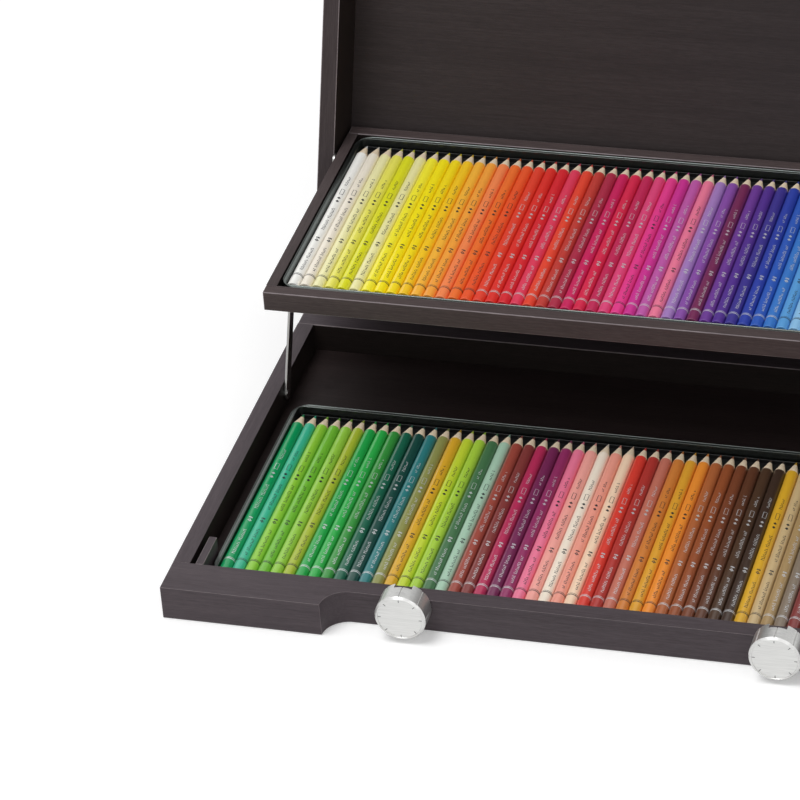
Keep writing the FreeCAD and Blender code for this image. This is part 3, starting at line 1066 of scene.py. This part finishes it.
    def mesh(self) -> Mesh:
        """Model the whole pencil.

        Returns:
            Its mesh, with the blunt end at the origin.
        """
        form = bmesh.new()
        self.body(form)
        for run in self.runs:
            for mark in self.letters(run):
                self.lay(form, mark)
        for mark in self.ornaments:
            self.lay(form, mark)
        settle(form)
        return mesh_of("pencil", form)


@dataclass
class PencilRow:
    """A row of sharpened pencils, one tint each."""

    shop: Workshop
    level: str
    body: str
    tints: Sequence["Tint"]
    pitch: float = 0.008
    variants: int = 5
    variant_step: int = 2
    brightness: Triple = (0.3, 0.6, 0.1)
    pale_from: float = 0.3
    sharp_angle: float = math.radians(12)

    def build(self) -> None:
        """Model the whole row as one piece."""
        node = self.level + "_pencils"
        low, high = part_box(node)
        models = [Pencil(high[1] - low[1], variant).mesh() for variant in range(self.variants)]
        axis_z = (low[2] + high[2]) / 2
        middle_x = (low[0] + high[0]) / 2
        row = bmesh.new()
        layer = row.loops.layers.float_color.new("Tint")
        for index, tint in enumerate(self.tints):
            colour = linear(tint.value)
            bright = sum(weight * value for weight, value in zip(self.brightness, colour))
            # Pale pencils take the dark foil on their print and rings, a painted dark reflection.
            foil = Zone.DARK_PRINT_PAINTED_REFLECTION if bright > self.pale_from else Zone.PALE_FOIL
            first_face = len(row.faces)
            first_vert = len(row.verts)
            row.from_mesh(models[index * self.variant_step % self.variants])
            row.faces.ensure_lookup_table()
            row.verts.ensure_lookup_table()
            x = middle_x + (index - (len(self.tints) - 1) / 2) * self.pitch
            bmesh.ops.translate(row, verts=row.verts[first_vert:], vec=(x, low[1], axis_z))
            for face in row.faces[first_face:]:
                if face.material_index == Zone.DARK_PRINT_PAINTED_REFLECTION.value:
                    face.material_index = foil.value
                for loop in face.loops:
                    loop[layer] = colour
        for model in models:
            bpy.data.meshes.remove(model)
        piece = self.shop.add(node + "_row", row, self.body, self.level + "_pencil_paint",
                              (PENCIL_PAINT, PENCIL_WOOD, PENCIL_LEAD, DARK_PRINT_AND_PAINTED_SHADE, FOIL_PALE), [node])
        piece.data.set_sharp_from_angle(angle=self.sharp_angle)


@dataclass
class Knob:
    """A grooved steel knob with a sunk face and ticks round it."""

    shop: Workshop
    side: str
    radius: float = 0.0158
    bevel: float = 0.0014
    grooves: int = 8
    groove_depth: float = 0.0006
    groove_half: float = 0.0004
    rim: float = 0.0005
    rim_slope: float = 0.00015
    face_depth: float = 0.0006
    edge: float = 0.00012
    tick_length: float = 0.0018
    tick_width: float = 0.00042
    tick_height: float = 0.0001
    tick_from_edge: float = 0.0031
    cut_tolerance: float = 0.0000001
    side_slope: float = 0.1
    near_side: float = 0.9
    on_side: float = 0.98

    def around(self, index: int) -> Matrix:
        """Give the turn about the knob's axis, from the top, of a groove or tick."""
        return Matrix.Rotation(math.radians(360 / self.grooves * index), 3, "Y")

    def groove(self, form: BMesh, centre: Vector, turn: Matrix) -> None:
        """Press one fine groove along the knob's side.

        Args:
            form: The knob's form.
            centre: The middle of its face.
            turn: The groove's turn about the axis.
        """
        out = turn @ Vector((0.0, 0.0, 1.0))
        across = turn @ Vector((1.0, 0.0, 0.0))
        for offset in (-self.groove_half, self.groove_half):
            faces = [face for face in form.faces if abs(face.normal.y) < self.side_slope
                     and face.normal.dot(out) > self.near_side
                     and (face.calc_center_median() - centre).dot(out) > self.radius * self.near_side]
            edges = {edge for face in faces for edge in face.edges}
            verts = {vert for face in faces for vert in face.verts}
            bmesh.ops.bisect_plane(form, geom=[*faces, *edges, *verts], dist=self.cut_tolerance,
                                   plane_co=centre + across * offset, plane_no=across)
        for vert in form.verts:
            away = vert.co - centre
            if (abs(away.dot(across)) < self.shop.weld and away.dot(out) > self.radius * self.on_side
                    and away.y > self.bevel * self.near_side):
                vert.co -= out * self.groove_depth

    def build(self) -> None:
        """Model the knob and its ticks, and finish what holds it."""
        shop = self.shop
        node = "knob_" + self.side
        low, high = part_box(node)
        centre = Vector(((low[0] + high[0]) / 2, low[1], (low[2] + high[2]) / 2))
        form = shop.copy_form(node)
        for index in range(self.grooves):
            self.groove(form, centre, self.around(index))
        face = max((face for face in form.faces if face.normal.y < -shop.facing),
                   key=lambda item: item.calc_area())
        bmesh.ops.inset_region(form, faces=[face], thickness=self.rim, use_even_offset=True)
        bmesh.ops.inset_region(form, faces=[face], thickness=self.rim_slope, depth=-self.face_depth,
                               use_even_offset=True)
        knob = shop.add(node + "_turned", form, node, "knob_metal", [KNOB], [node])
        shop.soften(knob, self.edge)
        # The ticks are thin raised dark boxes: painted shade standing in for engraved lines.
        ticks = bmesh.new()
        for index in range(self.grooves):
            verts = add_box(ticks, (self.tick_width, self.tick_height, self.tick_length),
                            (0.0, self.face_depth, self.radius - self.tick_from_edge))
            bmesh.ops.rotate(ticks, verts=verts, matrix=self.around(index))
        bmesh.ops.translate(ticks, verts=ticks.verts, vec=centre)
        shop.add(node + "_ticks", ticks, node, "knob_metal", [DARK_PRINT_AND_PAINTED_SHADE])
        for part in ("_spindle", "_nut"):
            shop.paint_node(node + part, BRIGHT)


@dataclass(frozen=True)
class ScrewHead:
    """A low domed screw head with a dark cross on it, painted shade for its cross slot."""

    radius: float
    height: float
    sides: int = 20
    dome: tuple[tuple[float, float], ...] = ((0.94, 0.55), (0.74, 0.9), (0.45, 1.0))
    cross_reach: float = 0.85
    cross_width: float = 0.0005
    cross_height: float = 0.00005

    def form(self, centre: Vector, axis: Vector) -> BMesh:
        """Model the head on a face.

        Args:
            centre: The middle of its foot.
            axis: The way that it looks.

        Returns:
            The form, with the cross as its second material.
        """
        form = bmesh.new()
        bmesh.ops.create_circle(form, cap_ends=True, segments=self.sides, radius=self.radius)
        edges = list(form.edges)
        for share, rise in self.dome:
            _, edges = extrude_ring(
                form, edges, lambda spot: ring_spot(spot, 2, self.radius * share, self.height * rise))
        close_ring(form, edges)
        settle(form)
        for face in form.faces:
            face.smooth = True
        reach = self.radius * self.cross_reach
        # The cross is a thin raised dark patch: painted shade for the cross slot.
        for x, y in ((reach, self.cross_width), (self.cross_width, reach)):
            bar = add_box(form, (x, y, self.cross_height), (0.0, 0.0, self.height))
            for face in {face for vert in bar for face in vert.link_faces}:
                face.material_index = 1
        turn = axis.to_track_quat("Z", "Y").to_matrix()
        bmesh.ops.rotate(form, verts=form.verts, matrix=turn)
        bmesh.ops.translate(form, verts=form.verts, vec=centre)
        return form


@dataclass
class Ironwork:
    """Struts, pivots, brackets, hinges, catches and their screws."""

    shop: Workshop
    swing: Swing
    strut_edge: float = 0.0003
    sheet_edge: float = 0.0002
    head_edge: float = 0.00008
    hinge_x: float = 0.17
    hinge_head: ScrewHead = ScrewHead(0.0028, 0.0008)
    screw_offsets: tuple[float, ...] = (-0.016, 0.0, 0.016)
    leaf_face_y: float = 0.1627
    leaf_screw_rise: float = 0.006
    lid_screw_z: float = 0.0338
    bracket_head: ScrewHead = ScrewHead(0.0022, 0.00025)
    bracket_face_x: float = 0.2516
    bracket_screw_z: tuple[float, ...] = (0.0375, 0.0470)
    catch_head: ScrewHead = ScrewHead(0.0024, 0.0005)
    catch_setback: float = 0.00025
    catch_screw_z: float = 0.0375

    def screw(self, name: str, body: str, head: ScrewHead, centre: Vector, axis: Vector) -> None:
        """Add one screw head."""
        # The second material, dark, is painted shade in the cross slot.
        self.shop.add(name, head.form(centre, axis), body, "steel", (BRIGHT, DARK_PRINT_AND_PAINTED_SHADE))

    def build(self) -> None:
        """Dress all the metal parts and add their screws."""
        shop = self.shop
        for side in ("left", "right"):
            shop.dress("strut_" + side, "strut_" + side, "steel", STEEL, self.strut_edge)
            shop.dress("lid_bracket_" + side, "lid", "steel", STEEL, self.sheet_edge, 1)
            shop.dress("strut_base_screw_" + side, "base", "steel", BRIGHT, self.head_edge)
        shop.dress("tray_strut_screws", "tray", "steel", BRIGHT, self.head_edge)
        leaves = {"hinge_base_leaves": "base", "hinge_lid_leaves": "lid", "lid_catches": "lid"}
        for node, body in leaves.items():
            shop.dress(node, body, "steel", STEEL, self.sheet_edge, 1)
        for node in ("hinge_pins", "strut_base_washers", "tray_lid_pins"):
            shop.paint_node(node, BRIGHT)
        self.hinge_screws()
        self.lid_screws()

    def hinge_screws(self) -> None:
        """Add the screws of the hinge leaves."""
        low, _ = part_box("hinge_base_leaves")
        back = Vector((0.0, 1.0, 0.0))
        for hinge, middle in enumerate((-self.hinge_x, self.hinge_x)):
            for place, offset in enumerate(self.screw_offsets):
                x = middle + offset
                tag = "_%d_%d" % (hinge + 1, place + 1)
                self.screw("hinge_base_screw" + tag, "base", self.hinge_head,
                           Vector((x, self.leaf_face_y, low[2] + self.leaf_screw_rise)), back)
                self.screw("hinge_lid_screw" + tag, "lid", self.hinge_head,
                           self.swing.opened((x, self.leaf_face_y, self.lid_screw_z)),
                           self.swing.turn() @ back)

    def lid_screws(self) -> None:
        """Add the screws of the tray brackets and of the catches."""
        pivot_y = self.swing.closed_pivot_y()
        for side, sign in (("left", -1.0), ("right", 1.0)):
            for place, z in enumerate(self.bracket_screw_z):
                spot = self.swing.opened((sign * self.bracket_face_x, pivot_y, z))
                self.screw("bracket_screw_%s_%d" % (side, place + 1), "lid", self.bracket_head, spot,
                           Vector((-sign, 0.0, 0.0)))
        low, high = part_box("knob_left")
        catch_x = (low[0] + high[0]) / 2
        front = self.swing.turn() @ Vector((0.0, -1.0, 0.0))
        for place, x in enumerate((catch_x, -catch_x)):
            spot = self.swing.opened((x, high[1] + self.catch_setback, self.catch_screw_z))
            self.screw("catch_screw_%d" % (place + 1), "lid", self.catch_head, spot, front)


@dataclass(frozen=True)
class Lamp:
    """One soft square lamp."""

    name: str
    place: Triple
    size: float
    power: float


@dataclass
class Studio:
    """The white floor, the soft light and the camera."""

    eye: Triple = (0.608146, -2.3409818, 1.707546)
    yaw: float = 0.315
    pitch: float = 0.5887
    roll: float = -0.083
    focal_pixels: float = 4776.5
    picture: int = 800
    sensor: float = 36.0
    clip: tuple[float, float] = (0.1, 60.0)
    surround: float = 0.5
    floor_reach: float = 12.0
    floor_drop: float = 0.0004
    floor_tone: float = 0.9
    floor_roughness: float = 0.9
    floor_specular: float = 0.1
    floor_lift: float = 0.2
    aim: Triple = (0.0, 0.05, 0.05)
    lamps: tuple[Lamp, ...] = (
        Lamp("key", (-0.9, -0.7, 2.9), 1.6, 52.0), Lamp("fill", (1.5, -2.4, 1.4), 1.9, 8.0))

    def camera(self) -> None:
        """Place the camera where the photograph was taken."""
        data = bpy.data.cameras.new("camera")
        data.sensor_width = self.sensor
        data.lens = self.focal_pixels * self.sensor / self.picture
        data.clip_start, data.clip_end = self.clip
        camera = put("camera", data)
        turn = Matrix.Rotation(self.yaw, 4, "Z") @ Matrix.Rotation(math.pi / 2 - self.pitch, 4, "X")
        camera.matrix_world = Matrix.Translation(self.eye) @ turn @ Matrix.Rotation(self.roll, 4, "Z")
        bpy.context.scene.camera = camera

    def floor(self) -> None:
        """Lay a floor that is white to the camera and keeps the shadow."""
        form = bmesh.new()
        bmesh.ops.create_grid(form, x_segments=1, y_segments=1, size=self.floor_reach)
        bmesh.ops.translate(form, verts=form.verts, vec=(0.0, 0.0, -self.floor_drop))
        mesh = mesh_of("floor", form)
        graph = Surface("floor_white")
        tone = (self.floor_tone, self.floor_tone, self.floor_tone, 1.0)
        glow = graph.blend(graph.seen() * self.floor_lift, BLACK, WHITE)
        mesh.materials.append(graph.finished({
            "Base Color": tone, "Roughness": self.floor_roughness,
            "Specular IOR Level": self.floor_specular,
            "Emission Color": glow, "Emission Strength": 1.0}))
        floor = put("floor", mesh)

    def light(self) -> None:
        """Set a white surround and the lamps."""
        world = bpy.data.worlds.new("studio")
        bpy.context.scene.world = world
        world.use_nodes = True
        graph = Graph(world.node_tree)
        lit = graph.node("ShaderNodeBackground", {"Color": WHITE, "Strength": self.surround})
        shown = graph.node("ShaderNodeBackground", {"Color": WHITE, "Strength": 1.0})
        mixed = graph.node("ShaderNodeMixShader", {0: graph.seen(), 1: lit, 2: shown})
        graph.join(graph.tree.nodes.new("ShaderNodeOutputWorld"), {"Surface": mixed})
        for lamp in self.lamps:
            data = bpy.data.lights.new(lamp.name, "AREA")
            data.size = lamp.size
            data.energy = lamp.power
            spot = Vector(lamp.place)
            placed = put(lamp.name, data)
            placed.location = spot
            placed.rotation_mode = "QUATERNION"
            placed.rotation_quaternion = (Vector(self.aim) - spot).to_track_quat("-Z", "Y")

    def build(self) -> None:
        """Make the camera, the floor and the light."""
        self.camera()
        self.floor()
        self.light()
        bpy.context.scene.view_settings.view_transform = "Standard"


class Tint(Enum):
    """The colours of the pencils."""

    WHITE = "f7f6f1"
    IVORY = "f3ead9"
    CREAM = "f3eeb4"
    PALE_LEMON = "eee962"
    LEMON = "e4e424"
    BUTTER = "f2ecaa"
    CANARY = "fbf036"
    SUN = "fdea16"
    DAFFODIL = "fbe019"
    GOLDEN = "fbcb22"
    APRICOT = "fbb93c"
    MANGO = "f9a63f"
    PEACH_ORANGE = "f98a52"
    ORANGE = "f47430"
    FLAME = "f05a2c"
    SCARLET = "e84530"
    POPPY = "e2342c"
    SIGNAL_RED = "dc2a34"
    CORAL_PINK = "e43f5e"
    VERMILION = "ea4a34"
    BRICK = "c44038"
    RASPBERRY = "b02f4a"
    CRIMSON_PINK = "cf2560"
    CARMINE = "dc2a50"
    RUBY = "c62a5a"
    ROSE = "e4497e"
    HOT_PINK = "ea3f90"
    MAGENTA = "d23596"
    ORCHID = "c35cab"
    LILAC = "a77fc2"
    VIOLET = "8a4fa8"
    PURPLE = "6f3c98"
    DEEP_VIOLET = "553291"
    INDIGO = "3f3690"
    ULTRAMARINE = "2f43a8"
    COBALT = "2f5cbc"
    AZURE = "3a7acb"
    SKY = "5ba0dc"
    PALE_SKY = "8fc3ea"
    ICE = "b9dcf0"
    OCEAN = "2b86bd"
    PETROL = "1f6386"
    NAVY = "1f3a66"
    DEEP_TEAL = "1d5866"
    TURQUOISE = "23a0ac"
    AQUA = "5cc4c4"
    SEA_FOAM = "96d8ca"
    JADE = "2aa98a"
    VIRIDIAN = "1c8470"
    EMERALD = "0e9a5c"
    SEA_GREEN = "3cb893"
    MAY_GREEN = "8fcb3c"
    GRASS = "74bd38"
    SPRING = "95cb45"
    OLIVE_YELLOW = "a9bb35"
    GREEN = "24a64c"
    KELLY = "2eae4c"
    LEAF = "38933f"
    PINE = "1b634b"
    BLACK_GREEN = "1c4a42"
    TEAL = "2f7c7e"
    OLIVE_GREY = "8e9152"
    OCHRE = "ddab2e"
    LIME = "c4d838"
    LIME_GREEN = "a8d042"
    GREY_GREEN = "47744d"
    MINT_GREY = "a9ccb4"
    RUST = "9f4a3e"
    MAROON = "843c3a"
    CRIMSON = "b8305a"
    AUBERGINE = "762a56"
    PLUM = "943264"
    PINK = "f07c9c"
    SALMON_PINK = "f6a89e"
    SHELL = "f8ead8"
    SALMON = "f3a08e"
    PEACH = "f9d8ba"
    RED = "dd4236"
    DARK_RED = "b33a34"
    ROSEWOOD = "c67462"
    COPPER = "d3813c"
    GOLD_OCHRE = "e1a334"
    TANGERINE = "f09236"
    SIENNA = "b0653a"
    BURNT_SIENNA = "96512f"
    CHESTNUT = "7a442c"
    WALNUT = "5f3a28"
    UMBER = "4d3728"
    SEPIA = "3f2f26"
    SAND = "cbb184"
    CAMEL = "a98d62"
    TAUPE = "87796a"
    WARM_GREY = "b9b3a8"
    MID_GREY = "8f9191"
    SLATE = "656b70"
    CHARCOAL = "3e4246"
    BLACK = "1c1c1e"
    SILVER = "c3c6c8"
    OLD_GOLD = "b39656"


def tints(names: str) -> tuple[Tint, ...]:
    """List tints by name.

    Args:
        names: Their names, where a hyphen stands for all those between two names.

    Returns:
        The tints in that order.
    """
    every = list(Tint)
    found: list[Tint] = []
    for name in names.split():
        first, _, last = name.partition("-")
        found += every[every.index(Tint[first]):every.index(Tint[last or first]) + 1]
    return tuple(found)


UPPER_ROW = tints(
    "WHITE-ORCHID PINK LILAC VIOLET AUBERGINE PURPLE-VIRIDIAN TEAL SEA_GREEN OCEAN COBALT SLATE PALE_SKY "
    "TURQUOISE VIRIDIAN PINE")
LOWER_ROW = tints(
    "EMERALD-SEPIA OCHRE SAND-TAUPE MAROON RUST SILVER WARM_GREY-BLACK SILVER MID_GREY-BLACK OLD_GOLD "
    "SILVER WHITE")


def main() -> None:
    """Build the case piece by piece."""
    logging.basicConfig(level=logging.INFO, format="%(message)s")
    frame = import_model()
    shop = Workshop(frame)
    swing = Swing(frame)
    Studio().build()
    Joinery(shop, swing).build()
    for level, body in (("lower", "base"), ("upper", "tray")):
        Tin(shop, level, body).build()
    PencilRow(shop, "upper", "tray", UPPER_ROW).build()
    PencilRow(shop, "lower", "base", LOWER_ROW).build()
    for side in ("left", "right"):
        Knob(shop, side).build()
    Ironwork(shop, swing).build()


if __name__ == "__main__":
    main()
